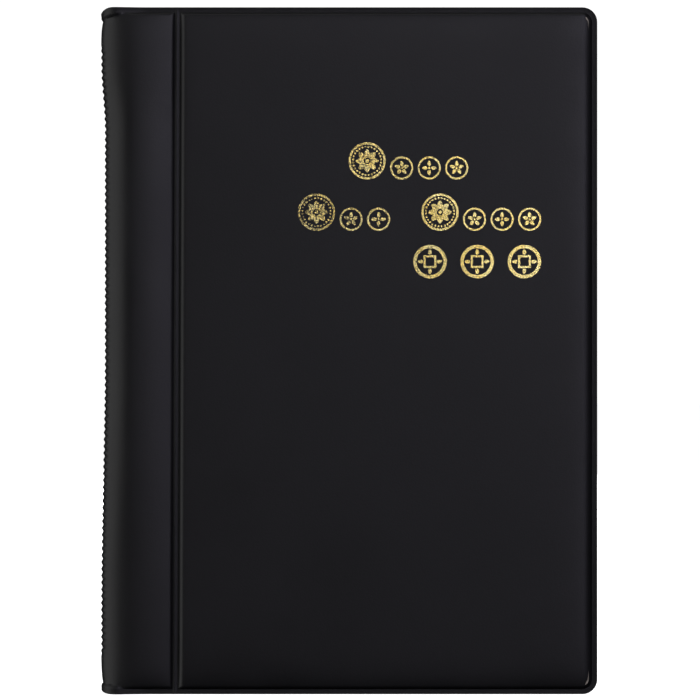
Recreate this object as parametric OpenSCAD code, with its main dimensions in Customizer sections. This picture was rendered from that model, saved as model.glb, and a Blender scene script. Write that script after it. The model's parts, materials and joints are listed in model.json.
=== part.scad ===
// Pocket album for coins: a padded, welded PVC cover with a ribbed spine band,
// two crease hinges and ten clear pages of welded pockets.
// The album stands on its bottom edge. X runs from the spine to the fore-edge,
// Y from the front cover to the back cover and Z upwards.

/* [Album] */
// Width of the closed album from the spine to the fore-edge
album_w = 134; // [126:1:150]
// Height of the album
album_h = 185; // [180:1:210]
// Number of pages
page_count = 10; // [2:1:10]

/* [Cover] */
// Thickness of the outer PVC skin
skin_t = 0.4; // [0.3:0.05:0.6]
// Thickness of the foam under the skin of a panel
foam_t = 0.6; // [0.4:0.1:1.5]
// Thickness of the stiff board in a panel
board_t = 1.4; // [1:0.1:2]
// Thickness of the inner lining sheet
lining_t = 0.3; // [0.2:0.05:0.5]
// Thickness of the skin and lining where they are welded together
weld_t = 0.8; // [0.6:0.05:1]
// Width of the weld rim round the cover
rim_w = 1.4; // [1:0.1:2.5]
// Corner radius at the fore-edge
corner_r = 4; // [3.5:0.5:8]
// Gap between the board and the side of its padded pocket
board_inset = 0.6; // [0.2:0.1:2]

/* [Spine] */
// Distance from the outside of the spine to the middle of the crease
band_w = 20.7; // [18:0.1:26]
// Width of the welded crease groove
groove_w = 2.2; // [2:0.1:4]
// Outside radius of the spine's long edges
spine_r = 5; // [3:0.5:6]
// Radius of the band's edge next to the crease
band_edge_r = 1.2; // [0.8:0.1:1.6]
// Distance from one rib of the spine to the next
rib_pitch = 1.84; // [1.4:0.02:3]
// Depth of the flutes between the ribs
rib_depth = 0.35; // [0.2:0.05:0.5]
// Length without ribs at each end of the spine
rib_plain = 9.5; // [8:0.5:30]

/* [Pages] */
// Thickness of the clear film
film_t = 0.2; // [0.15:0.01:0.3]
// Depth of an empty pocket between its two films
pocket_gap = 0.5; // [0.3:0.05:0.6]
// Distance from one page to the next
page_pitch = 1.28; // [1.25:0.01:1.6]
// Height of a page
page_h = 175; // [165:1:178]
// Distance from the album's fore-edge to the pages
page_inset = 5; // [4:0.5:12]
// Pockets across a page
columns = 3; // [2:1:4]
// Pockets up a page
rows = 4; // [3:1:6]
// Width of a weld seam between pockets
seam_w = 1.6; // [1:0.1:3]
// Open strip of backing above each pocket
mouth_h = 5; // [3:0.5:8]

/* [Foil] */
// Thickness of the hot-stamped foil
foil_t = 0.03; // [0.02:0.01:0.1]
// Diameter of the large coins
coin_d = 10; // [8:0.2:11]
// Diameter of the small coins
small_coin_d = 6.2; // [4:0.2:7]
// Diameter of the coins with a square hole
cash_d = 9; // [6:0.2:10]
// Gap between coins in a group
coin_gap = 1.2; // [0.5:0.1:2]

/* [Hidden] */

// Colours
black_pvc = [0.09, 0.09, 0.11];
lining_black = [0.13, 0.13, 0.14];
foam_grey = [0.45, 0.45, 0.47];
board_grey = [0.56, 0.52, 0.46];
clear_film = [0.82, 0.88, 0.93, 0.45];
weld_white = [0.93, 0.95, 0.97, 0.7];
spacer_white = [0.86, 0.87, 0.88];
foil_gold = [0.83, 0.66, 0.33];

// Depth levels, measured from the album's middle plane
panel_t = skin_t + foam_t + board_t + lining_t;
page_t = 2 * film_t + pocket_gap;
stack_t = (page_count - 1) * page_pitch + page_t;
page_clear = 0.34;
inner_y = stack_t / 2 + page_clear;
lining_y = inner_y + lining_t;
weld_y = inner_y + weld_t;
foam_y = inner_y + panel_t - skin_t - foam_t;
under_skin_y = inner_y + panel_t - skin_t;
outer_y = inner_y + panel_t;

// Places across the width
left_x = -album_w / 2;
right_x = album_w / 2;
crease_x = left_x + band_w;
hinge_gap = 0.2;
band_x = crease_x - groove_w / 2;
pad_x = crease_x + groove_w / 2;
side_wall = skin_t + rib_depth;
spine_in_x = left_x + panel_t;
rim_out = 0.8;

// Pages
page_hinge_x = crease_x + 4;
strip_gap = 0.15;
margin_gap = 0.3;
bound_gap = 1.5;
bound_x = spine_in_x + bound_gap;
spacer_end_x = crease_x - 2;
page_x = page_hinge_x + strip_gap;
page_end_x = right_x - page_inset;
pocket_x = page_hinge_x + 4;
page_z = (album_h - page_h) / 2;
column_w = (page_end_x - pocket_x - seam_w) / columns;
row_h = page_h / rows;
seam_split = 0.1;

// Foil
foil_right_x = right_x - 15.2;
foil_top_z = 0.749 * album_h;
foil_drop = 13.8;
coin_rim_w = 0.7;
cash_step = 12.7;

overshoot = 1;
arc_fn = 96;

function two_digits(i) = i < 10 ? str("0", i) : str(i);
function page_node(i, piece) = str("page_", two_digits(i), "_", piece);
// The back face of page i, counted from the front cover
function page_back_y(i) = -stack_t / 2 + page_t + (i - 1) * page_pitch;

page_pieces = ["backing", "pockets", "seams"];

// ---- Helpers ----

// A plate that faces the front: a flat X-Z outline between two depths
module plate(y_front, y_back) {
    translate([0, y_back, 0])
        rotate([90, 0, 0])
            linear_extrude(y_back - y_front)
                children();
}

// A box between two corners
module block(low, high) {
    translate(low) cube(high - low);
}

// X-Z outline of a cover panel, rounded at the fore-edge corners only
module panel_outline(x0, inset, r) {
    x1 = right_x - inset;
    z0 = inset;
    z1 = album_h - inset;
    translate([x0, z0]) square([x1 - r - x0, z1 - z0]);
    translate([x0, z0 + r]) square([x1 - x0, z1 - z0 - 2 * r]);
    for (z = [z0 + r, z1 - r])
        translate([x1 - r, z]) circle(r, $fn = arc_fn);
}

// X-Y section with the long spine edges rounded by r and the other two by r_edge
module spine_section(x0, x1, half_y, r, r_edge) {
    translate([x0, r - half_y]) square([x1 - x0, 2 * (half_y - r)]);
    translate([x0 + r, -half_y]) square([x1 - r_edge - x0 - r, 2 * half_y]);
    translate([x1 - 2 * r, r_edge - half_y]) square([2 * r, 2 * (half_y - r_edge)]);
    for (side = [-1, 1]) {
        translate([x0 + r, side * (half_y - r)]) circle(r, $fn = arc_fn);
        translate([x1 - r_edge, side * (half_y - r_edge)]) circle(r_edge, $fn = arc_fn);
    }
}

// X-Y section of everything inside the spine's lining, or inside its skin
module spine_inside(x0, half_y) {
    translate([x0, -half_y]) square([crease_x + overshoot - x0, 2 * half_y]);
}

// Prism of the row of concave flutes between the spine's ribs
module flutes() {
    ribbed_h = album_h - 2 * rib_plain;
    flute_count = floor(ribbed_h / rib_pitch);
    start_z = (album_h - flute_count * rib_pitch) / 2;
    steps = 4;
    curve = [
        for (k = [0:flute_count - 1])
            for (s = [0:steps - 1])
                [
                    left_x + rib_depth * sin(180 * s / steps),
                    start_z + (k + s / steps) * rib_pitch
                ]
    ];
    top = [left_x, start_z + flute_count * rib_pitch];
    outside = [[left_x - overshoot, top[1]], [left_x - overshoot, start_z]];
    plate(spine_r - outer_y, outer_y - spine_r)
        polygon(concat(curve, [top], outside));
}

// ---- Spine ----

module spine_skin() {
    color(black_pvc)
        difference() {
            union() {
                translate([0, 0, rim_w])
                    linear_extrude(album_h - 2 * rim_w)
                        spine_section(left_x, band_x, outer_y, spine_r, band_edge_r);
                linear_extrude(album_h)
                    spine_section(left_x + rim_out, band_x, weld_y, spine_r - rim_out, skin_t);
                for (side = [-1, 1])
                    block(
                        [band_x - skin_t, min(side * lining_y, side * weld_y), 0],
                        [crease_x - hinge_gap / 2, max(side * lining_y, side * weld_y), album_h]
                    );
            }
            translate([0, 0, rim_w + skin_t])
                linear_extrude(album_h - 2 * (rim_w + skin_t))
                    spine_section(
                        left_x + side_wall, band_x - skin_t, under_skin_y,
                        spine_r - side_wall, band_edge_r - skin_t
                    );
            translate([0, 0, -overshoot])
                linear_extrude(album_h + 2 * overshoot)
                    spine_inside(spine_in_x - lining_t, lining_y);
            flutes();
        }
}

module spine_foam() {
    color(foam_grey)
        translate([0, 0, rim_w + skin_t])
            linear_extrude(album_h - 2 * (rim_w + skin_t))
                difference() {
                    spine_section(
                        left_x + side_wall, band_x - skin_t, under_skin_y,
                        spine_r - side_wall, band_edge_r - skin_t
                    );
                    spine_inside(spine_in_x - lining_t, lining_y);
                }
}

module spine_lining() {
    color(lining_black)
        linear_extrude(album_h)
            difference() {
                translate([spine_in_x - lining_t, -lining_y])
                    square([crease_x - hinge_gap / 2 - spine_in_x + lining_t, 2 * lining_y]);
                spine_inside(spine_in_x, inner_y);
            }
}

// Strips that keep the bound edges of the pages a coin's room apart
module spacer_strips() {
    color(spacer_white)
        for (i = [1:page_count])
            block(
                [bound_x, max(page_back_y(i) - page_pitch, -inner_y), page_z],
                [spacer_end_x, page_back_y(i) - film_t, page_z + page_h]
            );
}

// The bound edge of each page's backing film, up to the line where it bends
module page_margins() {
    color(clear_film)
        for (i = [1:page_count])
            block(
                [bound_x, page_back_y(i) - film_t, page_z],
                [page_hinge_x - margin_gap, page_back_y(i), page_z + page_h]
            );
}

// ---- Padded panels, drawn as the front cover ----

module panel_skin() {
    color(black_pvc)
        difference() {
            union() {
                plate(-weld_y, -lining_y)
                    panel_outline(crease_x + hinge_gap / 2, 0, corner_r);
                plate(-outer_y, -lining_y)
                    panel_outline(pad_x, rim_w, corner_r - rim_w);
            }
            plate(-under_skin_y, overshoot - lining_y)
                panel_outline(pad_x + skin_t, rim_w + skin_t, corner_r - rim_w - skin_t);
        }
}

module panel_foam() {
    color(foam_grey)
        plate(-under_skin_y, -foam_y)
            panel_outline(pad_x + skin_t, rim_w + skin_t, corner_r - rim_w - skin_t);
}

module panel_board() {
    inset = rim_w + skin_t + board_inset;
    color(board_grey)
        plate(-foam_y, -lining_y)
            panel_outline(pad_x + skin_t + board_inset, inset, corner_r - inset);
}

module panel_lining() {
    color(lining_black)
        plate(-lining_y, -inner_y)
            panel_outline(crease_x + hinge_gap / 2, 0, corner_r);
}

module front_skin() { panel_skin(); }
module front_foam() { panel_foam(); }
module front_board() { panel_board(); }
module front_lining() { panel_lining(); }
module back_skin() { mirror([0, 1, 0]) panel_skin(); }
module back_foam() { mirror([0, 1, 0]) panel_foam(); }
module back_board() { mirror([0, 1, 0]) panel_board(); }
module back_lining() { mirror([0, 1, 0]) panel_lining(); }

// ---- Foil ornament: groups of coins, each a large one and then small ones ----

// A round coin on the base line: a rim and a centre spot
module coin(d) {
    translate([d / 2, d / 2]) {
        difference() {
            circle(d = d, $fn = arc_fn);
            circle(d = d - 2 * coin_rim_w, $fn = arc_fn);
        }
        circle(d = 0.4 * d, $fn = arc_fn);
    }
}

// A round coin with a square hole
module cash_coin(d) {
    hole_w = 0.26 * d;
    border_w = hole_w + 2 * coin_rim_w;
    translate([d / 2, d / 2]) {
        difference() {
            circle(d = d, $fn = arc_fn);
            circle(d = d - 3 * coin_rim_w, $fn = arc_fn);
        }
        difference() {
            square(border_w, center = true);
            square(hole_w, center = true);
        }
    }
}

// One large coin and then count small ones, ending at x_right
module coin_group(x_right, z_base, count) {
    step = small_coin_d + coin_gap;
    x0 = x_right - coin_d - count * step;
    translate([x0, z_base]) coin(coin_d);
    for (k = [1:count])
        translate([x0 + coin_d - small_coin_d + k * step, z_base]) coin(small_coin_d);
}

module front_foil() {
    color(foil_gold)
        plate(-outer_y - foil_t, -outer_y) {
            coin_group(foil_right_x - 19.6, foil_top_z, 3);
            coin_group(foil_right_x, foil_top_z - foil_drop, 3);
            coin_group(foil_right_x - 40.6, foil_top_z - foil_drop, 2);
            for (k = [0:2])
                translate([foil_right_x - cash_d - k * cash_step, foil_top_z - 2 * foil_drop + 1])
                    cash_coin(cash_d);
        }
}

// ---- Pages ----

module page_backing(i) {
    color(clear_film)
        block(
            [page_x, page_back_y(i) - film_t, page_z],
            [page_end_x, page_back_y(i), page_z + page_h]
        );
}

// One strip of film for each row, open along its top edge
module page_pockets(i) {
    color(clear_film)
        for (row = [0:rows - 1])
            block(
                [pocket_x, page_back_y(i) - page_t, page_z + row * row_h],
                [page_end_x, page_back_y(i) - page_t + film_t, page_z + (row + 1) * row_h - mouth_h]
            );
}

// Upright seams between the columns, and a floor seam under each pocket
module page_seams(i) {
    seam_front = page_back_y(i) - page_t + film_t;
    seam_back = page_back_y(i) - film_t;
    seams_top = page_z + rows * row_h - mouth_h;
    color(weld_white) {
        for (column = [0:columns]) {
            x = pocket_x + column * column_w;
            block([x, seam_front, page_z], [x + seam_w, seam_back, seams_top]);
        }
        for (row = [0:rows - 1])
            for (column = [0:columns - 1]) {
                x0 = pocket_x + column * column_w + seam_w + seam_split;
                x1 = pocket_x + (column + 1) * column_w - seam_split;
                z = page_z + row * row_h;
                block([x0, seam_front, z], [x1, seam_back, z + seam_w]);
            }
    }
}

spine_skin();
spine_foam();
spine_lining();
spacer_strips();
page_margins();
front_skin();
front_foam();
front_board();
front_lining();
front_foil();
back_skin();
back_foam();
back_board();
back_lining();
for (i = [1:page_count]) {
    page_backing(i);
    page_pockets(i);
    page_seams(i);
}
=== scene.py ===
# Coin album: a padded, welded PVC cover with a ribbed spine band, gold foil coins
# and ten clear pages of welded pockets.
import json
import math

import bmesh
import bpy
import numpy as np
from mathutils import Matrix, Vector, noise

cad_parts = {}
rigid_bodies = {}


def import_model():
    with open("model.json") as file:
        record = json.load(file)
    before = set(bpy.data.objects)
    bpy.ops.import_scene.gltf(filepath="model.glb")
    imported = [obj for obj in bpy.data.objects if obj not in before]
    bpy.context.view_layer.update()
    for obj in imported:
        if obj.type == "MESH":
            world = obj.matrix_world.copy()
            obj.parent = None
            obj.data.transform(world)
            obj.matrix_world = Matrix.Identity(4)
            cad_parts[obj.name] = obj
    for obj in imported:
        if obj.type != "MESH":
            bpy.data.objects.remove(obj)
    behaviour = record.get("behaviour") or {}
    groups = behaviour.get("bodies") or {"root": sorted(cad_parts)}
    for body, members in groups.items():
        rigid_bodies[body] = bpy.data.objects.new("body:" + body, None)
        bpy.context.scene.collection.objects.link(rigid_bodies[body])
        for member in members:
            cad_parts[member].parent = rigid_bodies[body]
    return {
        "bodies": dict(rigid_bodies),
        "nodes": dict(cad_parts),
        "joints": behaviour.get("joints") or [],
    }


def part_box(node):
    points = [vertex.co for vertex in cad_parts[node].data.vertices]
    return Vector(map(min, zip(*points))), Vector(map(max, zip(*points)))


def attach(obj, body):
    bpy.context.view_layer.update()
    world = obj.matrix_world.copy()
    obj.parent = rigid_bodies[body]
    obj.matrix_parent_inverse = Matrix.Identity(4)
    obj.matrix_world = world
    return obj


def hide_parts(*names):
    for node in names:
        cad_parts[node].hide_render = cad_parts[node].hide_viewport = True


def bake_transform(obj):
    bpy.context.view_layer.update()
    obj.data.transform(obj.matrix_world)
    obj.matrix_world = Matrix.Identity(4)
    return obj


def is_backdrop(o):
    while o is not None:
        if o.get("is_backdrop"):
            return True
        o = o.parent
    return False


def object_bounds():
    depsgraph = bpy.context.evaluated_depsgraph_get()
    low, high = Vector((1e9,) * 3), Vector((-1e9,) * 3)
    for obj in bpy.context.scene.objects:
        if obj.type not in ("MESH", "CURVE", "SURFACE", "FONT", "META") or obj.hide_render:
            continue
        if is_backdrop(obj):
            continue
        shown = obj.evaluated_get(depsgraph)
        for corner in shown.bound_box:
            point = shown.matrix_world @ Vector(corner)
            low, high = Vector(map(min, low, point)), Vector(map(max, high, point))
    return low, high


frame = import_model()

cad_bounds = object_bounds()

# ---- Sizes in millimetres, from the frame ----

MM = 0.001


def low(node):
    return np.array(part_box(node)[0]) / MM


def high(node):
    return np.array(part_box(node)[1]) / MM


joints = {j["name"]: j for j in frame["joints"]}
page_names = sorted(b for b in frame["bodies"] if b.startswith("page_"))

HEIGHT = high("spine_skin")[2]
LEFT = low("spine_skin")[0]
RIGHT = high("front_lining")[0]
OUTER = -low("front_skin")[1]
BASE = -low("front_lining")[1]          # depth where the skin meets the lining
LINING_T = high("front_lining")[1] - low("front_lining")[1]
PAD_H = OUTER - BASE                    # height of the padding above the lining
CREASE = joints["front_cover_hinge"]["pos_m"][0] / MM
CAD_SKIN_T = OUTER + low("front_foam")[1]
PAD_X = low("front_foam")[0] - CAD_SKIN_T
BAND_X = 2 * CREASE - PAD_X
RIM_W = RIGHT - high("front_foam")[0] - CAD_SKIN_T
CORNER_R = 4.0                          # round corner of the cover

# ---- Shape of the welded cover ----

SKIN_T = 0.5
WELD_H = 0.5                            # height of the skin in a weld
SPINE_R = 5.0                           # depth of the spine's elliptical edges
# each edge of the padding: width of the round edge, share of the height that rises slowly after it
CREASE_EDGE = (1.6, 0.1)
FORE_EDGE = (2.6, 0.38)
END_EDGE = (0.9, 0.4)
BAND_EDGE = (0.9, 0.05)
SLOPE_LEN = 3.0                         # length of that slow rise
PAD_SAG = 0.07                          # how far the padding lies under its full height
SOFT_WAVES = ((0.05, 22, 3.1), (0.02, 7, 9.7))  # the padding's unevenness: height, size and seed
PAD_FOOT = PAD_X - 0.4                  # the padding bulges a little over the crease
BAND_FOOT = BAND_X + 0.25
BAND_CREST_X = LEFT + 9.5
BAND_FALL = 1.05                        # how far the band sinks from its crest to the crease
BAND_FALL_MID = 0.35                    # and how much more where the spine is drawn in
RIDGE_X = CREASE - 0.25                 # ridge between the two weld lines of the crease
RIDGE_H = 0.15
RIDGE_W = 0.3
CREASE_LEAN = 0.35                      # how far the crease leans to the right at its top
CREASE_LEAN_W = 5.0
BOW = 1.0                               # how far the middle of the spine is drawn in
BOW_LOW = (24, 92)                      # heights where it begins and where it is full
BOW_HIGH = (152, 170)                   # heights where it starts to end and where it is gone
BOW_REACH = 3.0
END_LIFT = 1.7                          # the spine's end welds lie near its outside
END_LIFT_H = 4.0
END_LIFT_REACH = 8.0
TOP_ROUND = 2.2                         # how far the spine's corners are cut round
BOTTOM_ROUND = 1.1
ROUND_W = 3.4
ROUND_H = 9.0
ROUND_SHARE = 0.97                      # share of a quarter round used, short of its upright end
CHAMFER = 0.12                          # along the rim's outer edge
RIB_PITCH = 1.84
RIB_DEPTH = 0.36
RIB_PLAIN = 9.5                         # length without ribs at each end of the spine
RIB_COUNT = math.floor((HEIGHT - 2 * RIB_PLAIN) / RIB_PITCH)
RIB_START = (HEIGHT - RIB_COUNT * RIB_PITCH) / 2
RIB_SAMPLES = 8
RIB_RISE = (-0.2, 1.5)                  # the turns over which the flutes deepen from each end
RIB_TURN = math.radians(62)             # how far the flutes reach round the spine's edge
RIM_DISH = 0.14                         # rise across the rim, at the top and the fore-edge

BOARD_H = -low("front_board")[1] - BASE
BOARD_INSET = 0.9                       # just short of the board, mm in from the padding's foot
BOARD_MARGIN = 0.2
BOARD_CLEAR = 0.03                      # room between the board and the skin
LEAST_SKIN_T = 0.15                     # thickness left of the skin where it clears the board
FOAM_INSET = 2.2                        # how far in from the weld rim the foam starts
FOAM_CLEAR = 0.03                       # room between the foam and the skin
LEAST_FOAM_T = 0.02
FOAM_FLOOR = 0.02                       # room between the spine's foam and the lining

SIDE_HALF = OUTER - SPINE_R
ARC_R = SPINE_R - PAD_H
FLAT_X = LEFT + SPINE_R
FLAT_S = SIDE_HALF + ARC_R * math.pi / 2
RIB_END = SIDE_HALF + ARC_R * RIB_TURN


def smooth(v, a, b):
    t = np.clip((v - a) / (b - a), 0, 1)
    return t * t * (3 - 2 * t)


def noise_at(x, z, size, seed):
    """Smooth noise from -1 to 1 at each point, with features about size mm across."""
    return np.array([noise.noise(Vector((a + seed, 0, b))) for a, b in zip(x / size, z / size)])


def cover_path(s):
    """Where skin and lining meet, s mm round from the middle of the spine: x, y and the normal."""
    angle = np.clip((s - SIDE_HALF) / ARC_R, 0, math.pi / 2)
    x = FLAT_X - ARC_R * np.cos(angle) + np.maximum(s - FLAT_S, 0)
    y = -np.minimum(s, SIDE_HALF) - ARC_R * np.sin(angle)
    return x, y, -np.cos(angle), -np.sin(angle)


def flat_x(s):
    """x of s on the cover laid out flat."""
    return s - FLAT_S + FLAT_X


def s_at(x):
    """s of x on the cover laid out flat."""
    return x - FLAT_X + FLAT_S


def from_edge(x, z):
    """Distance in from the nearest of the cover's outer edges."""
    return np.minimum(np.minimum(z, HEIGHT - z), RIGHT - x)


def shoulder(d, edge):
    """Share of the padding's height d mm in from its weld: a round edge, then a slow rise."""
    width, slow = edge
    t = np.clip(d / width, 0, 1)
    round_edge = np.sqrt(np.maximum(1 - (1 - t) ** 2, 0))
    return (1 - slow) * round_edge + slow * (1 - np.exp(-np.maximum(d, 0) / SLOPE_LEN))


def band_height(s, z):
    """Height of the spine band above the lining's line: flat side, elliptical edge, slow fall."""
    x, y, nx, ny = cover_path(s)
    wide, deep = BAND_CREST_X - LEFT, SPINE_R
    # the edge is where the normal crosses the ellipse: the larger root of a t^2 + 2 b t + c = 0
    ax, ay, bx, by = (x - BAND_CREST_X) / wide, (y + SIDE_HALF) / deep, nx / wide, ny / deep
    a, b, c = bx * bx + by * by, ax * bx + ay * by, ax * ax + ay * ay - 1
    edge = (np.sqrt(np.maximum(b * b - a * c, 0)) - b) / a
    past_crest = np.maximum(x - BAND_CREST_X, 0) / (BAND_FOOT - BAND_CREST_X)
    fall = (BAND_FALL + BAND_FALL_MID * bow(z) / BOW) * past_crest ** 2
    return np.where(s < SIDE_HALF, PAD_H, np.where(x < BAND_CREST_X, edge, PAD_H - fall))


def spine_share(s, reach):
    """1 on the outside of the spine, 0 from reach mm past its rounded edge."""
    return 1 - smooth(s, SIDE_HALF, FLAT_S + reach)


def end_lift(s, z):
    """How far the weld at the spine's two ends stands away from the lining's line."""
    from_end = np.minimum(z, HEIGHT - z)
    return END_LIFT * spine_share(s, END_LIFT_REACH) * (1 - smooth(from_end, RIM_W, END_LIFT_H))


def bow(z):
    """How far the spine is drawn in at height z."""
    return BOW * smooth(z, *BOW_LOW) * (1 - smooth(z, *BOW_HIGH))


def flute(s, z):
    """Depth of the rounded flutes between the spine's ribs, which die away round the spine's edge."""
    turn = (z - RIB_START) / RIB_PITCH
    along = smooth(turn, *RIB_RISE) * smooth(RIB_COUNT - turn, *RIB_RISE)
    inside = (turn >= 0) & (turn <= RIB_COUNT)
    around = 1 - smooth(s, SIDE_HALF, RIB_END)
    return RIB_DEPTH * np.sin(np.pi * turn) ** 2 * along * inside * around


def cover_height(s, z):
    """Height of the outside of the cover above the lining's line."""
    x = flat_x(s)
    ends = shoulder(np.minimum(z, HEIGHT - z) - RIM_W, END_EDGE)
    waves = [depth * noise_at(x, z, size, seed) for depth, size, seed in SOFT_WAVES]
    softness = sum(waves) - PAD_SAG
    pad = (PAD_H - WELD_H) * shoulder(x - PAD_FOOT, CREASE_EDGE) * shoulder(RIGHT - RIM_W - x, FORE_EDGE)
    band = (band_height(s, z) - WELD_H) * shoulder(BAND_FOOT - x, BAND_EDGE)
    filled = np.where(x > CREASE, pad, band)
    ridge = RIDGE_H * np.exp(-(((x - RIDGE_X) / RIDGE_W) ** 2))
    from_dished = np.minimum(HEIGHT - z, RIGHT - x)
    dish = RIM_DISH * (np.clip(1 - from_dished / RIM_W, 0, 1) ** 2 - 0.5)
    height = WELD_H + (filled + softness * np.minimum(filled, 1)) * ends + ridge + dish
    height = np.maximum(height, WELD_H + dish + end_lift(s, z))
    return height - bow(z) * spine_share(s, BOW_REACH) * ends - flute(s, z)


def edge_drop(s, z):
    """The small chamfer along the rim's outer edge."""
    return CHAMFER * (1 - np.clip(from_edge(flat_x(s), z) / CHAMFER, 0, 1))


def skin_outside(s, z):
    return cover_height(s, z) - edge_drop(s, z)


def skin_inside(s, z):
    """Height of the skin's inner face: thinner by the edge of the board, which it clears."""
    x = flat_x(s)
    outside = cover_height(s, z)
    from_rim = from_edge(x, z) - RIM_W
    by_board = (x > PAD_X + BOARD_INSET) & (from_rim > BOARD_INSET - BOARD_MARGIN)
    over_board = np.where(by_board, np.minimum(BOARD_H + BOARD_CLEAR, outside - LEAST_SKIN_T), 0)
    return np.maximum(np.maximum(outside - SKIN_T, end_lift(s, z)), over_board)


def round_corners(x, z, radius, right=RIGHT, bottom=0.0, top=HEIGHT):
    """Carries the points of a rectangle's two right-hand corners on to round ones."""
    middle = (bottom + top) / 2
    a = (x - right + radius) / radius
    b = (np.abs(z - middle) - (top - bottom) / 2 + radius) / radius
    corner = (a > 0) & (b > 0)
    a, b = np.where(corner, a, 1), np.where(corner, b, 0)
    shrink = np.maximum(a, b) / np.hypot(a, b)
    new_x = right - radius + radius * a * shrink
    new_z = middle + np.sign(z - middle) * ((top - bottom) / 2 - radius + radius * b * shrink)
    return np.where(corner, new_x, x), np.where(corner, new_z, z)


def spine_corner(s, z):
    """How far the points by the spine's corners move up, at the bottom, or down, at the top."""
    x, _, nx, _ = cover_path(s)
    t = ROUND_SHARE * np.clip(1 - (x + nx * PAD_H - LEFT) / ROUND_W, 0, 1)
    cut = 1 - np.sqrt(1 - t * t)
    up = BOTTOM_ROUND * (1 - smooth(z, 0, ROUND_H))
    down = TOP_ROUND * smooth(z, HEIGHT - ROUND_H, HEIGHT)
    return cut * (up - down)


def cover_point(s, z, height, side):
    """The point height mm out from the lining's line, on the front (side 1) or the back (-1)."""
    x, y, nx, ny = cover_path(s)
    around_x, around_z = round_corners(flat_x(s), z, CORNER_R)
    lean = CREASE_LEAN * (2 * z / HEIGHT - 1) * np.exp(-(((x - CREASE) / CREASE_LEAN_W) ** 2))
    x = x + around_x - flat_x(s) + lean
    return np.stack([x + nx * height, side * (y + ny * height), around_z + spine_corner(s, z)], axis=-1)


# ---- Mesh building ----


class Shell:
    """A closed sheet made of columns of points, where some columns may have denser rows."""

    def __init__(self):
        self.points = []
        self.tags = []
        self.faces = []
        self.count = 0

    def column(self, rows, points, tag=0.0):
        self.points.append(points)
        self.tags.append(np.broadcast_to(tag, rows.shape))
        ids = np.arange(self.count, self.count + len(rows))
        self.count += len(rows)
        return rows, ids

    def strip(self, a, b):
        """Faces between two columns. The extra rows of the denser one join the wider faces."""
        coarse, dense = (a, b) if len(a[0]) <= len(b[0]) else (b, a)
        at = np.searchsorted(dense[0], coarse[0] - 1e-6)
        for j in range(len(coarse[0]) - 1):
            run = [int(i) for i in dense[1][at[j]:at[j + 1] + 1]]
            self.faces.append([int(coarse[1][j]), int(coarse[1][j + 1])] + run[::-1])

    def close(self, outer, inner):
        """Joins an outer and an inner list of columns into one closed sheet."""
        for layer in (outer, inner):
            for a, b in zip(layer, layer[1:]):
                self.strip(a, b)
        self.strip(outer[0], inner[0])
        self.strip(outer[-1], inner[-1])
        for end in (0, -1):
            for (a, b), (c, d) in zip(zip(outer, outer[1:]), zip(inner, inner[1:])):
                self.faces.append([int(v) for v in (a[1][end], b[1][end], d[1][end], c[1][end])])

    def build(self, name, material, sharp=40, tag_name=None):
        points = np.concatenate(self.points)
        return mesh_object(name, points, self.faces, material, sharp, tag_name, np.concatenate(self.tags))


def mesh_object(name, points, faces, material, sharp=40, tag_name=None, tags=None):
    """A smooth-shaded mesh piece from points in millimetres, with edges over sharp degrees kept."""
    mesh = bpy.data.meshes.new(name)
    mesh.from_pydata((np.asarray(points) * MM).tolist(), [], faces)
    if tag_name:
        attribute = mesh.attributes.new(tag_name, "FLOAT", "POINT")
        attribute.data.foreach_set("value", np.asarray(tags, np.float32))
    work = bmesh.new()
    work.from_mesh(mesh)
    bmesh.ops.recalc_face_normals(work, faces=work.faces)
    work.to_mesh(mesh)
    work.free()
    mesh.polygons.foreach_set("use_smooth", [True] * len(mesh.polygons))
    mesh.set_sharp_from_angle(angle=math.radians(sharp))
    mesh.materials.append(material)
    piece = bpy.data.objects.new(name, mesh)
    bpy.context.scene.collection.objects.link(piece)
    return piece


def edge_steps(width, count):
    """Distances across a round edge, closest where it is steepest."""
    return [width * (1 - math.cos(math.pi / 2 * k / count)) for k in range(1, count + 1)]


def growing(start, stop, step, growth):
    """Distances from start to stop, each step longer than the one before."""
    found = []
    at = start
    while at < stop:
        found.append(at)
        at += step
        step *= growth
    return found


def border_steps(width):
    """Distances in from the cover's edge: the weld rim, the pad's round edge and on to its flat."""
    rim = [0, CHAMFER, 0.5, 0.9, RIM_W - CHAMFER, RIM_W]
    edge = [RIM_W + d for d in edge_steps(width, 8)]
    return rim + edge + growing(start=edge[-1] + 0.4, stop=9, step=0.5, growth=1.25)


def cover_rows():
    """Heights of the cover's rows: a few, and many that follow each flute of the spine."""
    ends = [d for d in border_steps(END_EDGE[0]) if d < RIB_START - 0.8]
    ribs = [RIB_START + k * RIB_PITCH for k in range(RIB_COUNT + 1)]
    few = ends + ribs + [HEIGHT - d for d in reversed(ends)]
    step = RIB_PITCH / RIB_SAMPLES
    between = [r + k * step for r in ribs[:-1] for k in range(1, RIB_SAMPLES)]
    return np.array(few), np.array(sorted(few + between))


def rib_columns():
    """Distances round the spine of the columns that cross the flutes."""
    return list(np.linspace(0, SIDE_HALF, 4)) + list(np.linspace(SIDE_HALF, RIB_END, 10))[1:]


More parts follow.
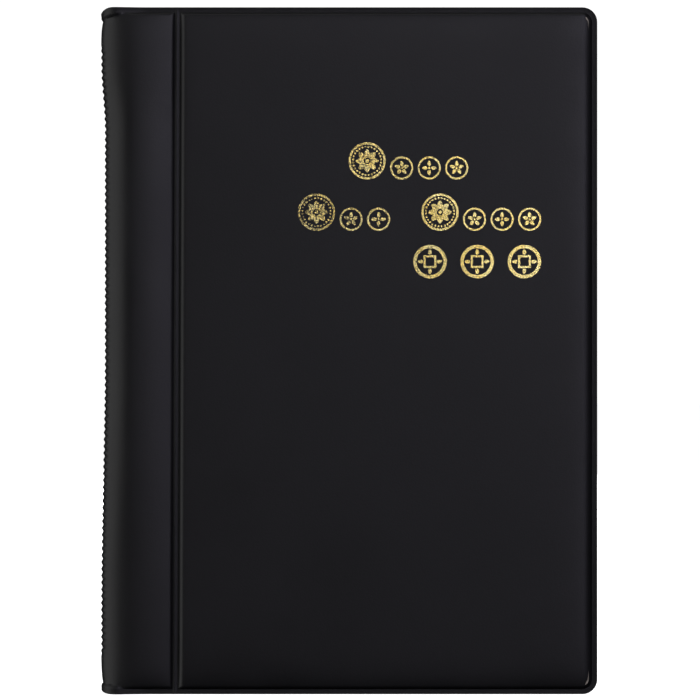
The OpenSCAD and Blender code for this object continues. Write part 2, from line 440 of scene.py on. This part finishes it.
def plain_columns():
    """Distances round the cover of the columns from the ribs to the fore-edge."""
    arc = list(np.linspace(RIB_END, FLAT_S, 5))[1:]
    band = list(np.arange(FLAT_X + 1, BAND_FOOT - 2.2, 1.6))
    band += [BAND_FOOT - d for d in edge_steps(BAND_EDGE[0], 7) + [1.3, 1.8]]
    groove = list(np.linspace(BAND_FOOT, PAD_FOOT, 10))
    pad = [PAD_FOOT + d for d in edge_steps(CREASE_EDGE[0], 8)]
    pad += growing(start=pad[-1] + 0.3, stop=PAD_FOOT + 12, step=0.4, growth=1.3)
    border = [RIGHT - d for d in reversed(border_steps(FORE_EDGE[0]))]
    middle = list(np.linspace(pad[-1], border[0], 36))[1:-1]
    across = sorted(set(round(x, 4) for x in band + groove + pad + middle + border))
    return arc + [float(s_at(x)) for x in across]


def weld_share(s, z):
    """1 on welded rim and crease, 0 on the padding; the material makes it rougher there and paints shade
    into it.
    """
    x = flat_x(s)
    rim = 1 - smooth(from_edge(x, z), RIM_W, RIM_W + 0.25)
    crease = smooth(x, BAND_FOOT - 0.15, BAND_FOOT) * (1 - smooth(x, PAD_FOOT, PAD_FOOT + 0.15))
    return np.maximum(rim, crease)


# ---- Materials ----


class Nodes:
    """A node tree with short calls for making and joining nodes."""

    def __init__(self, name):
        self.material = bpy.data.materials.new(name)
        self.material.use_nodes = True
        self.tree = self.material.node_tree
        self.shader = self.tree.nodes["Principled BSDF"]
        self.output = self.tree.nodes["Material Output"]
        self.place = self.make("ShaderNodeTexCoord").outputs["Object"]

    def make(self, kind, values=(), **settings):
        node = self.tree.nodes.new(kind)
        for key, value in settings.items():
            setattr(node, key, value)
        for key, value in dict(values).items():
            self.feed(node.inputs[key], value)
        return node

    def feed(self, socket, value):
        if isinstance(value, bpy.types.NodeSocket):
            self.tree.links.new(value, socket)
        else:
            socket.default_value = value

    def set(self, **values):
        for key, value in values.items():
            self.feed(self.shader.inputs[key.replace("_", " ")], value)

    def noise(self, size_mm, detail=3.0, roughness=0.55, place=None):
        """Noise from 0 to 1 with features of about size_mm."""
        values = {"Vector": place or self.place, "Scale": 1 / (size_mm * MM), "Detail": detail,
                  "Roughness": roughness}
        return self.make("ShaderNodeTexNoise", values).outputs["Fac"]

    def cells(self, size_mm, feature="F1"):
        values = {"Vector": self.place, "Scale": 1 / (size_mm * MM)}
        return self.make("ShaderNodeTexVoronoi", values, feature=feature).outputs["Distance"]

    def scaled_place(self, x, y, z):
        values = {"Vector": self.place, "Scale": (x, y, z)}
        return self.make("ShaderNodeMapping", values).outputs["Vector"]

    def remap(self, value, from_low, from_high, to_low, to_high):
        values = {"Value": value, "From Min": from_low, "From Max": from_high,
                  "To Min": to_low, "To Max": to_high}
        return self.make("ShaderNodeMapRange", values).outputs["Result"]

    def math(self, operation, a, b=0.0):
        node = self.make("ShaderNodeMath", operation=operation)
        self.feed(node.inputs[0], a)
        self.feed(node.inputs[1], b)
        return node.outputs[0]

    def mix_color(self, share, a, b):
        node = self.make("ShaderNodeMix", data_type="RGBA")
        self.feed(node.inputs["Factor"], share)
        self.feed(node.inputs[6], a)
        self.feed(node.inputs[7], b)
        return node.outputs[2]

    def attribute(self, name):
        return self.make("ShaderNodeAttribute", attribute_name=name).outputs["Fac"]

    def bump(self, height, depth_mm, strength=1.0, over=None):
        values = {"Height": height, "Distance": depth_mm * MM, "Strength": strength}
        if over is not None:
            values["Normal"] = over
        return self.make("ShaderNodeBump", values).outputs["Normal"]


def grey(value, blue=1.0):
    return (value, value, value * blue, 1.0)


def pvc_material():
    """Black soft PVC with a very fine grain, slightly rougher where it is welded, with painted shade
    darkening the welded rim and crease groove.
    """
    n = Nodes("black_pvc")
    weld = n.attribute("weld")
    patches = n.noise(26, 4)
    grain = n.cells(0.55)
    pores = n.noise(0.22, 2)
    base = n.mix_color(n.remap(patches, 0.3, 0.7, 0, 1), grey(0.0055, 1.02), grey(0.0075, 1.04))
    base = n.mix_color(n.remap(grain, 0.1, 0.8, 0, 0.5), base, grey(0.004))
    # painted shade: the welded rim and the crease groove are darkened in the base colour
    base = n.mix_color(n.math("MULTIPLY", weld, 0.8), base, grey(0.004))
    rough = n.math("ADD", n.remap(patches, 0.3, 0.7, 0.42, 0.48), n.remap(pores, 0.3, 0.7, -0.03, 0.03))
    rough = n.math("ADD", rough, n.math("MULTIPLY", weld, 0.05))
    fine = n.bump(pores, 0.02, 0.35)
    relief = n.bump(grain, 0.03, 0.3, fine)
    n.set(Base_Color=base, Roughness=rough, Normal=relief, Specular_IOR_Level=0.31)
    return n.material


def lining_material():
    """Thin black PVC sheet with a pebble grain."""
    n = Nodes("lining_pvc")
    pebbles = n.cells(0.9, "SMOOTH_F1")
    patches = n.noise(18, 3)
    base = n.mix_color(n.remap(patches, 0.3, 0.7, 0, 1), grey(0.012, 1.05), grey(0.018, 1.08))
    base = n.mix_color(n.remap(pebbles, 0.0, 0.6, 0.5, 0), base, grey(0.026, 1.08))
    relief = n.bump(pebbles, 0.08, 0.5)
    n.set(Base_Color=base, Roughness=n.remap(patches, 0.3, 0.7, 0.5, 0.6), Normal=relief)
    return n.material


def foam_material():
    n = Nodes("foam")
    cells = n.cells(0.7)
    patches = n.noise(9, 3)
    base = n.mix_color(n.remap(cells, 0.0, 0.7, 1, 0), grey(0.34, 1.03), grey(0.16, 1.03))
    base = n.mix_color(n.remap(patches, 0.3, 0.7, 0, 0.35), base, (0.4, 0.38, 0.33, 1))
    n.set(Base_Color=base, Roughness=0.95, Normal=n.bump(cells, 0.3, 0.8))
    return n.material


def board_material():
    """Greyboard: pressed fibres with flecks."""
    n = Nodes("greyboard")
    fibres = n.noise(1.1, 6, 0.7, n.scaled_place(1, 1, 0.25))
    flecks = n.cells(2.3)
    base = n.mix_color(n.remap(fibres, 0.3, 0.7, 0, 1), (0.26, 0.23, 0.19, 1), (0.42, 0.38, 0.32, 1))
    base = n.mix_color(n.remap(flecks, 0.05, 0.12, 0.7, 0), base, (0.12, 0.11, 0.1, 1))
    n.set(Base_Color=base, Roughness=0.85, Normal=n.bump(fibres, 0.08, 0.6))
    return n.material


def spacer_material():
    """Milky plastic strip with faint drawn lines."""
    n = Nodes("spacer_strip")
    drawn = n.noise(0.5, 4, 0.6, n.scaled_place(1, 1, 0.03))
    base = n.mix_color(n.remap(drawn, 0.3, 0.7, 0, 1), (0.62, 0.66, 0.7, 1), (0.74, 0.77, 0.8, 1))
    n.set(Base_Color=base, Roughness=n.remap(drawn, 0.3, 0.7, 0.35, 0.5), Normal=n.bump(drawn, 0.04, 0.4))
    return n.material


def foil_material():
    """Hot-stamped gold foil with specks where it hasn't taken, more of them to the left."""
    n = Nodes("gold_foil")
    x = n.make("ShaderNodeSeparateXYZ", {"Vector": n.place}).outputs["X"]
    foil_left, foil_right = low("front_foil")[0] * MM, high("front_foil")[0] * MM
    wear = n.remap(x, foil_left, foil_right, 0.5, 0.33)
    specks = n.noise(0.42, 3, 0.75)
    left_out = n.remap(specks, n.math("SUBTRACT", wear, 0.03), n.math("ADD", wear, 0.03), 1.0, 0.0)
    tone = n.noise(3.5, 3)
    gold = n.mix_color(n.remap(tone, 0.3, 0.7, 0, 1), (0.92, 0.69, 0.19, 1), (1.0, 0.87, 0.36, 1))
    base = n.mix_color(left_out, gold, (0.02, 0.016, 0.01, 1))
    glints = n.noise(0.25, 2, 0.6)
    rough = n.math("ADD", n.remap(tone, 0.3, 0.7, 0.18, 0.26), n.math("MULTIPLY", left_out, 0.3))
    metal = n.remap(left_out, 0, 1, 1, 0)
    n.set(Base_Color=base, Metallic=metal, Normal=n.bump(glints, 0.05, 1.0), Roughness=rough)
    return n.material


def film_material(name, clear, tint, haze_mm, bump_mm):
    """Clear PVC film: light passes straight through, with a gloss that grows towards grazing angles."""
    n = Nodes(name)
    ripple = n.noise(haze_mm, 1)
    dust = n.noise(1.5, 2)
    facing = n.make("ShaderNodeLayerWeight", {"Blend": 0.35}).outputs["Facing"]
    body = n.math("ADD", n.remap(facing, 0, 1, 1 - clear, 0.85), n.remap(dust, 0.35, 0.8, 0, 0.03))
    pale = tuple(min(1, c * 1.06) for c in tint[:3]) + (1,)
    base = n.mix_color(n.remap(ripple, 0.3, 0.7, 0, 1), tint, pale)
    rough = n.remap(ripple, 0.3, 0.7, 0.12, 0.2)
    n.set(Base_Color=base, Roughness=rough, Normal=n.bump(ripple, bump_mm, 0.6))
    through = n.make("ShaderNodeBsdfTransparent", {"Color": (0.96, 0.975, 0.98, 1)})
    blend = n.make("ShaderNodeMixShader", {"Fac": body})
    n.tree.links.new(through.outputs[0], blend.inputs[1])
    n.tree.links.new(n.shader.outputs[0], blend.inputs[2])
    n.tree.links.new(blend.outputs[0], n.output.inputs["Surface"])
    return n.material


pvc = pvc_material()
lining = lining_material()
foam = foam_material()
board = board_material()
spacer = spacer_material()
gold_foil = foil_material()
clear_film = film_material("clear_film", 0.94, (0.82, 0.86, 0.89, 1), 6, 0.05)
welded_seam = film_material("welded_seam", 0.6, (0.86, 0.89, 0.91, 1), 1.5, 0.15)

# ---- Cover ----

few_rows, many_rows = cover_rows()
ribbed = rib_columns()
plain = plain_columns()
all_columns = ribbed + plain


def cover_skin(name, side, nodes):
    """Half of the padded skin: from the middle of the spine, over the crease, to the fore-edge."""
    shell = Shell()

    def column(s, rows, height_at):
        s_row = np.full(len(rows), s)
        points = cover_point(s_row, rows, height_at(s_row, rows), side)
        return shell.column(rows, points, weld_share(s_row, rows))

    outer = [column(s, many_rows, skin_outside) for s in ribbed]
    outer += [column(s, few_rows, skin_outside) for s in plain]
    inner = [column(s, few_rows, skin_inside) for s in all_columns]
    shell.close(outer, inner)
    skin = shell.build(name, pvc, 38, "weld")
    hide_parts(*nodes)
    bend_with_cover(skin)


def bend_with_cover(piece):
    """Bakes the piece's placement into its mesh, where it stays on no body."""
    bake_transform(piece)


def cover_lining(name, side, nodes):
    """Half of the lining sheet, inside the skin and welded to it round the rim."""
    shell = Shell()

    def layer(depth):
        columns = []
        for s in all_columns:
            s_row = np.full(len(few_rows), s)
            height = end_lift(s_row, few_rows) - depth
            columns.append(shell.column(few_rows, cover_point(s_row, few_rows, height, side)))
        return columns

    shell.close(layer(0.0), layer(LINING_T))
    sheet = shell.build(name, lining, 40)
    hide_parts(*nodes)
    bend_with_cover(sheet)


def padding(name, side, body, node, columns, floor):
    """Foam that fills the skin down to floor mm above the lining's line."""
    shell = Shell()
    rows = few_rows[(few_rows > RIM_W + FOAM_INSET) & (few_rows < HEIGHT - RIM_W - FOAM_INSET)]
    outer, inner = [], []
    for s in columns:
        s_row = np.full(len(rows), s)
        top = np.maximum(skin_inside(s_row, rows) - FOAM_CLEAR, floor + LEAST_FOAM_T)
        under = np.minimum(floor, top - LEAST_FOAM_T)
        outer.append(shell.column(rows, cover_point(s_row, rows, top, side)))
        inner.append(shell.column(rows, cover_point(s_row, rows, under, side)))
    shell.close(outer, inner)
    pad = shell.build(name, foam, 40)
    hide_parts(node)
    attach(pad, body)


cover_skin("front_cover_skin", 1, ("front_skin", "spine_skin"))
cover_skin("back_cover_skin", -1, ("back_skin", "spine_skin"))
cover_lining("front_cover_lining", 1, ("front_lining", "spine_lining"))
cover_lining("back_cover_lining", -1, ("back_lining", "spine_lining"))

pad_columns = [s for s in plain if PAD_X + 0.6 < flat_x(s) < RIGHT - RIM_W - FOAM_INSET]
spine_columns = [s for s in all_columns if flat_x(s) < BAND_X - 0.4]
pad_floor = BOARD_H + 0.01
padding("front_padding", 1, "front_cover", "front_foam", pad_columns, pad_floor)
padding("back_padding", -1, "back_cover", "back_foam", pad_columns, pad_floor)
padding("spine_padding_front", 1, "spine", "spine_foam", spine_columns, FOAM_FLOOR)
padding("spine_padding_back", -1, "spine", "spine_foam", spine_columns, FOAM_FLOOR)

for node, material in (("front_board", board), ("back_board", board), ("spacer_strips", spacer)):
    materials = frame["nodes"][node].data.materials
    materials.clear()
    materials.append(material)

# ---- Foil coins on the front pad ----

FOIL_T = 0.05
FOIL_SUNK = 0.01                        # how far its underside lies in the skin
COIN_D, SMALL_COIN_D, CASH_D = 10.0, 6.2, 9.0
COIN_GAP = 1.2
COIN_RIM, SMALL_COIN_RIM, CASH_RIM = 0.6, 0.48, 0.9
FOIL_RIGHT = high("front_foil")[0]
FOIL_BASE = high("front_foil")[2] - COIN_D
FOIL_DROP = 13.8                        # from the upper line of coins to the next
UPPER_GROUP_IN = 19.6                   # how far in from the right each group ends
LEFT_GROUP_IN = 40.6
CASH_STEP = 12.7


class Foil:
    """Thin plates of foil that lie on the pad's own surface."""

    def __init__(self):
        self.points = []
        self.faces = []

    def plate(self, outline, hole=None):
        """A plate inside outline, or between outline and a hole with as many points."""
        start = len(self.points)
        loops = outline + (hole or [])
        x, z = np.array(loops).T
        s = s_at(x)
        for lift in (FOIL_T, -FOIL_SUNK):
            self.points.extend(cover_point(s, z, cover_height(s, z) + lift, 1))
        n = len(outline)
        under = len(loops)
        for i in range(n):
            j = (i + 1) % n
            self.faces.append([start + i, start + j, start + under + j, start + under + i])
            if hole is not None:
                a, b = start + n + i, start + n + j
                self.faces.append([a, b, b + under, a + under])
                self.faces.append([start + i, start + j, b, a])
                self.faces.append([start + under + i, start + under + j, b + under, a + under])
        if hole is None:
            self.faces.append([start + i for i in range(n)])
            self.faces.append([start + under + i for i in range(n)])

    def ring(self, x, z, d, width):
        self.plate(circle(x, z, d), circle(x, z, d - 2 * width))

    def disc(self, x, z, d, points=12):
        self.plate(circle(x, z, d, points))


def circle(x, z, d, points=72):
    turns = [2 * math.pi * k / points for k in range(points)]
    return [(x + d / 2 * math.cos(t), z + d / 2 * math.sin(t)) for t in turns]


def petal(x, z, inner, outer, width, turn, points=12):
    """A leaf shape that points away from x, z, from radius inner to radius outer."""
    outline = []
    for k in range(points):
        t = 2 * math.pi * k / points
        along = (inner + outer) / 2 + (outer - inner) / 2 * math.cos(t)
        across = width / 2 * math.sin(t) * (1 - 0.25 * math.cos(t))
        outline.append((x + along * math.cos(turn) - across * math.sin(turn),
                        z + along * math.sin(turn) + across * math.cos(turn)))
    return outline


def square(x, z, width, points=16):
    """A square's outline, with its points spread evenly along its sides."""
    outline = []
    for k in range(points):
        t = 2 * math.pi * k / points
        reach = width / 2 / max(abs(math.cos(t)), abs(math.sin(t)))
        outline.append((x + reach * math.cos(t), z + reach * math.sin(t)))
    return outline


def coin(foil, x, z, d, rim, petals, beads):
    """A coin with its lower left at x, z: rim, ring of beads, rosette."""
    r = d / 2
    x, z = x + r, z + r
    foil.ring(x, z, d, rim)
    for k in range(beads):
        t = 2 * math.pi * (k + 0.5) / beads
        foil.disc(x + 0.76 * r * math.cos(t), z + 0.76 * r * math.sin(t), 0.09 * r + 0.12, 8)
    for k in range(petals):
        foil.plate(petal(x, z, 0.16 * r, 0.62 * r, 0.3 * r, math.pi / 2 + 2 * math.pi * k / petals))
    foil.disc(x, z, 0.2 * r)


def cash_coin(foil, x, z, d):
    """A coin with a square hole and four leaves, with its lower left at x, z."""
    r = d / 2
    x, z = x + r, z + r
    foil.ring(x, z, d, CASH_RIM)
    foil.plate(square(x, z, 0.52 * r + 1.1), square(x, z, 0.52 * r))
    for k in range(4):
        foil.plate(petal(x, z, 0.42 * r, 0.74 * r, 0.22 * r, math.pi / 2 * k))


def coin_group(foil, right, base, count):
    """One large coin and then count small ones, ending at right."""
    step = SMALL_COIN_D + COIN_GAP
    left = right - COIN_D - count * step
    coin(foil, left, base, COIN_D, COIN_RIM, petals=8, beads=28)
    for k in range(1, count + 1):
        x = left + COIN_D - SMALL_COIN_D + k * step
        coin(foil, x, base, SMALL_COIN_D, SMALL_COIN_RIM, petals=5 if k % 2 else 4, beads=0)


def foil_coins():
    """Three groups of round coins and a row of three with square holes."""
    foil = Foil()
    coin_group(foil, FOIL_RIGHT - UPPER_GROUP_IN, FOIL_BASE, 3)
    coin_group(foil, FOIL_RIGHT, FOIL_BASE - FOIL_DROP, 3)
    coin_group(foil, FOIL_RIGHT - LEFT_GROUP_IN, FOIL_BASE - FOIL_DROP, 2)
    for k in range(3):
        cash_coin(foil, FOIL_RIGHT - CASH_D - k * CASH_STEP, low("front_foil")[2], CASH_D)
    piece = mesh_object("foil_coins", foil.points, foil.faces, gold_foil, 30)
    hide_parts("front_foil")
    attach(piece, "front_cover")


foil_coins()

# ---- Pages ----

FILM_T = high("page_01_backing")[1] - low("page_01_backing")[1]
PAGE_CORNER_R = 3.0
COLUMNS, ROWS = 3, 4
SEAM_W = 1.6
MOUTH_H = 5.0                           # from the top of a pocket's film to the next row's foot
BEND = 4.0                              # half the width of the strip where a page bends
BULGE_W = 7.0                           # from a seam to where the pocket stands fully open
FLAT_SHARE = 0.04                       # share of a pocket's depth that is left at its seams
WAVE_FROM, WAVE_FULL = -38, 10          # x where the film's waves begin and are full
SIDE_STEPS = (5.5, 4, 3, 2.4, 1.8, 1.2, 0.6, 0)  # columns by a page's fore-edge, mm in from it
END_STEPS = (0, 0.6, 1.2, 1.8, 2.4, 3, 4, 6)  # rows by a page's ends, mm in from them
POCKET_STEPS = (1.5, 3, 5, 7)           # columns beside a pocket's seams, mm in from them
POCKET_ROWS = (0, SEAM_W, 3, 5, 7, 8.6, 14, 22, 30)
SEAM_STEP = 0.75                        # from one knurl of a seam to the next
SEAM_INSET = 0.25                       # plain film on each side of a seam's knurls
SEAM_H, KNURL_H, SEAM_END_H = 0.05, 0.06, 0.01
SEAM_LIFT, SEAM_SUNK = 0.02, 0.05       # how far a seam's faces lie above and under the film's
SEAM_PROFILE = ((0, 0.01), (0.3, 1), (0.7, 1), (1, 0.01))  # place across a seam, share of its height


def page_wave(x, z, seed):
    """How far the film lies out of flat: a long wave that all pages share, and a little of their own."""
    free = smooth(x, WAVE_FROM, WAVE_FULL)
    shared = 0.16 * np.sin(z / 31 + x / 47) + 0.08 * np.sin(z / 13 - x / 29)
    own = 0.035 * noise_at(x, z, 30, seed)
    return free * (shared + own)


def page_film(number, body):
    """The backing film of a page, from its bound edge in the spine to its fore-edge."""
    node = body + "_backing"
    front, back = low(node)[1], high(node)[1]
    bottom, top, right = low(node)[2], high(node)[2], high(node)[0]
    hinge = joints[body + "_hinge"]["pos_m"][0] / MM
    bound = low("page_margins")[0]
    across = list(np.linspace(bound, hinge - BEND, 6))
    across += list(np.linspace(hinge - BEND, hinge + BEND, 13))[1:]
    across += list(np.linspace(hinge + BEND, right - 8, 18))[1:] + [right - d for d in SIDE_STEPS]
    middle_rows = list(np.linspace(bottom + 12, top - 12, 26))
    rows = [bottom + d for d in END_STEPS] + middle_rows + [top - d for d in reversed(END_STEPS)]
    rows = np.array(rows)
    shell = Shell()
    outer, inner = [], []
    for x in across:
        around_x, around_z = round_corners(np.full(len(rows), x), rows, PAGE_CORNER_R, right, bottom, top)
        wave = page_wave(around_x, around_z, number)
        for y, columns in ((front, outer), (back, inner)):
            columns.append(shell.column(rows, np.stack([around_x, y + wave, around_z], axis=-1)))
    shell.close(outer, inner)
    film = shell.build(body + "_film", clear_film, 40)
    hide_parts(node, "page_margins")
    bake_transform(film)


def pocket_edges(body):
    """Left edge of the first upright seam, distance between seams, foot of the rows, a row's height."""
    left, right = low(body + "_pockets")[0], high(body + "_pockets")[0]
    bottom = low(body + "_backing")[2]
    top = high(body + "_backing")[2]
    return left, (right - left - SEAM_W) / COLUMNS, bottom, (top - bottom) / ROWS


def pocket_depth(x, z, left, step, foot, gap):
    """How far a pocket's film stands off the backing: flat at the seams, free at the mouth."""
    from_seam = np.mod(x - left, step) - SEAM_W
    to_seam = step - SEAM_W - from_seam
    side = smooth(np.minimum(from_seam, to_seam), 0, BULGE_W)
    bulge = side * smooth(z - foot, SEAM_W, SEAM_W + BULGE_W)
    return gap * (FLAT_SHARE + (1 - FLAT_SHARE) * bulge)


def page_pockets(number, body):
    """Four strips of film, each welded into three pockets that are open along the top."""
    left, step, bottom, row_h = pocket_edges(body)
    back = low(body + "_backing")[1]
    gap = back - high(body + "_pockets")[1]
    across = []
    for column in range(COLUMNS):
        x0 = left + column * step
        across += [x0, x0 + SEAM_W] + [x0 + SEAM_W + d for d in POCKET_STEPS]
        across += [x0 + step / 2 + SEAM_W / 2] + [x0 + step - d for d in reversed(POCKET_STEPS)]
    across += [left + COLUMNS * step, left + COLUMNS * step + SEAM_W]
    shell = Shell()
    for row in range(ROWS):
        foot = bottom + row * row_h
        rows = np.array([foot + d for d in POCKET_ROWS + (row_h - MOUTH_H,)])
        outer, inner = [], []
        for x in across:
            xs = np.full(len(rows), x)
            depth = pocket_depth(xs, rows, left, step, foot, gap)
            y = back + page_wave(xs, rows, number) - depth
            outer.append(shell.column(rows, np.stack([xs, y - FILM_T, rows], axis=-1)))
            inner.append(shell.column(rows, np.stack([xs, y, rows], axis=-1)))
        shell.close(outer, inner)
    strips = shell.build(body + "_pocket_film", clear_film, 40)
    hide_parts(body + "_pockets")
    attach(strips, body)


def page_seams(number, body):
    """The knurled weld lines pressed into the film round each pocket."""
    left, step, bottom, row_h = pocket_edges(body)
    back = low(body + "_backing")[1]
    width = SEAM_W - 2 * SEAM_INSET
    shell = Shell()

    def bar(start, end, upright):
        """A bar between two points (x, z), with every other step of it raised."""
        count = max(2, int(round((end[upright] - start[upright]) / SEAM_STEP)))
        along = np.linspace(start[upright], end[upright], count + 1)
        ridge = SEAM_H + KNURL_H * (np.arange(count + 1) % 2)
        ridge[[0, -1]] = SEAM_END_H
        outer, inner = [], []
        for share, rise in SEAM_PROFILE:
            other = np.full(count + 1, start[1 - upright] + share * width)
            xs, zs = (other, along) if upright else (along, other)
            film = back + page_wave(xs, zs, number) - FILM_T
            for y, columns in ((film - SEAM_LIFT - ridge * rise, outer), (film + SEAM_SUNK, inner)):
                columns.append(shell.column(along, np.stack([xs, y, zs], axis=-1)))
        shell.close(outer, inner)

    top = bottom + ROWS * row_h - MOUTH_H
    for column in range(COLUMNS + 1):
        x = left + column * step + SEAM_INSET
        bar((x, bottom + 0.3), (x, top), 1)
    for row in range(ROWS):
        for column in range(COLUMNS):
            x0 = left + column * step + SEAM_W
            z = bottom + row * row_h + SEAM_INSET
            bar((x0, z), (x0 + step - SEAM_W, z), 0)
    seams = shell.build(body + "_weld_lines", welded_seam, 25)
    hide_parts(body + "_seams")
    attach(seams, body)


for number, body in enumerate(page_names, 1):
    page_film(number, body)
    page_pockets(number, body)
    page_seams(number, body)

# ---- Stage, lights and camera ----

scene = bpy.context.scene
CENTRE = Vector((0, 0, HEIGHT * MM / 2))
CAMERA_DISTANCE = 1.1
CAMERA_RIGHT, CAMERA_UP = 0.0004, 0.0002  # from the middle of the front cover
SENSOR_W = 36
FRAME_HEIGHT = 0.1882                   # what the frame's height covers at the front cover
FLOOR_HALF = 6.0
FLOOR_GLOW = 0.97
SKY = 1.1                               # strength of the white behind the album
ROOM_LOW, ROOM_HIGH = 0.0, 0.05         # strength of the dim room, from the ground up


def camera():
    """A long lens that looks straight at the front cover."""
    data = bpy.data.cameras.new("camera")
    data.sensor_width = SENSOR_W
    data.lens = SENSOR_W * CAMERA_DISTANCE / FRAME_HEIGHT
    data.clip_start, data.clip_end = 0.05, 50
    item = bpy.data.objects.new("camera", data)
    scene.collection.objects.link(item)
    item.location = (CAMERA_RIGHT, -OUTER * MM - CAMERA_DISTANCE, CENTRE.z + CAMERA_UP)
    item.rotation_euler = (math.radians(90), 0, 0)
    scene.camera = item


def softbox(name, place, width, height, brightness, color=(1, 1, 1)):
    """A soft light that faces the album, given by how bright its face looks."""
    data = bpy.data.lights.new(name, "AREA")
    data.shape = "RECTANGLE"
    data.size, data.size_y = width, height
    data.energy, data.color = brightness * math.pi * width * height, color
    item = bpy.data.objects.new(name, data)
    scene.collection.objects.link(item)
    item.location = place
    item.rotation_euler = (CENTRE - Vector(place)).to_track_quat("-Z", "Y").to_euler()


def floor():
    """A plain white floor, which glows a little so that its shadows stay soft and faint."""
    turns = ((-1, -1), (1, -1), (1, 1), (-1, 1))
    corners = [(x * FLOOR_HALF, y * FLOOR_HALF, 0) for x, y in turns]
    mesh = bpy.data.meshes.new("floor")
    mesh.from_pydata(corners, [], [[0, 1, 2, 3]])
    item = bpy.data.objects.new("floor", mesh)
    scene.collection.objects.link(item)
    n = Nodes("floor")
    n.set(Base_Color=grey(0.8), Roughness=0.9, Emission_Color=grey(1.0), Emission_Strength=FLOOR_GLOW)
    mesh.materials.append(n.material)
    item.visible_glossy = False
    item.visible_diffuse = False
    item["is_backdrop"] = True


def world():
    """White to the camera, and to everything else a dim room, darker towards the ground."""
    room = bpy.data.worlds.new("studio")
    room.use_nodes = True
    tree = room.node_tree
    white = tree.nodes["Background"]
    white.inputs["Color"].default_value = grey(1.0)
    white.inputs["Strength"].default_value = SKY
    place = tree.nodes.new("ShaderNodeTexCoord")
    upward = tree.nodes.new("ShaderNodeSeparateXYZ")
    tree.links.new(place.outputs["Generated"], upward.inputs[0])
    ramp = tree.nodes.new("ShaderNodeMapRange")
    values = {"From Min": -0.4, "From Max": 0.5, "To Min": ROOM_LOW, "To Max": ROOM_HIGH}
    for key, value in values.items():
        ramp.inputs[key].default_value = value
    tree.links.new(upward.outputs["Z"], ramp.inputs["Value"])
    dim = tree.nodes.new("ShaderNodeBackground")
    dim.inputs["Color"].default_value = (0.95, 0.96, 1.0, 1)
    tree.links.new(ramp.outputs["Result"], dim.inputs["Strength"])
    path = tree.nodes.new("ShaderNodeLightPath")
    mix = tree.nodes.new("ShaderNodeMixShader")
    tree.links.new(path.outputs["Is Camera Ray"], mix.inputs[0])
    tree.links.new(dim.outputs[0], mix.inputs[1])
    tree.links.new(white.outputs[0], mix.inputs[2])
    tree.links.new(mix.outputs[0], tree.nodes["World Output"].inputs["Surface"])
    scene.world = room


camera()
floor()
world()
softbox("front_softbox", (0.32, -1.7, 0.46), 0.6, 0.5, 2.3, (1, 0.99, 1.02))
softbox("right_softbox", (0.78, -1.7, 0.73), 0.85, 0.85, 2.6, (0.98, 0.93, 1.2))
softbox("low_right_softbox", (0.72, -1.7, 0.33), 0.5, 0.5, 2.45, (0.97, 0.92, 1.22))
softbox("left_softbox", (-1.1, -0.4, 0.2), 1.3, 2.2, 1.5)
softbox("top_softbox", (0.1, -0.35, 1.5), 0.9, 0.5, 1.5)
softbox("back_softbox", (0.5, 1.6, 0.7), 1.5, 1.1, 6.0)
scene.view_settings.view_transform = "Standard"
scene.cycles.transparent_max_bounces = 96

both = {"cad": cad_bounds, "visual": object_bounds()}
{k: [list(corner) for corner in v] for k, v in both.items()}
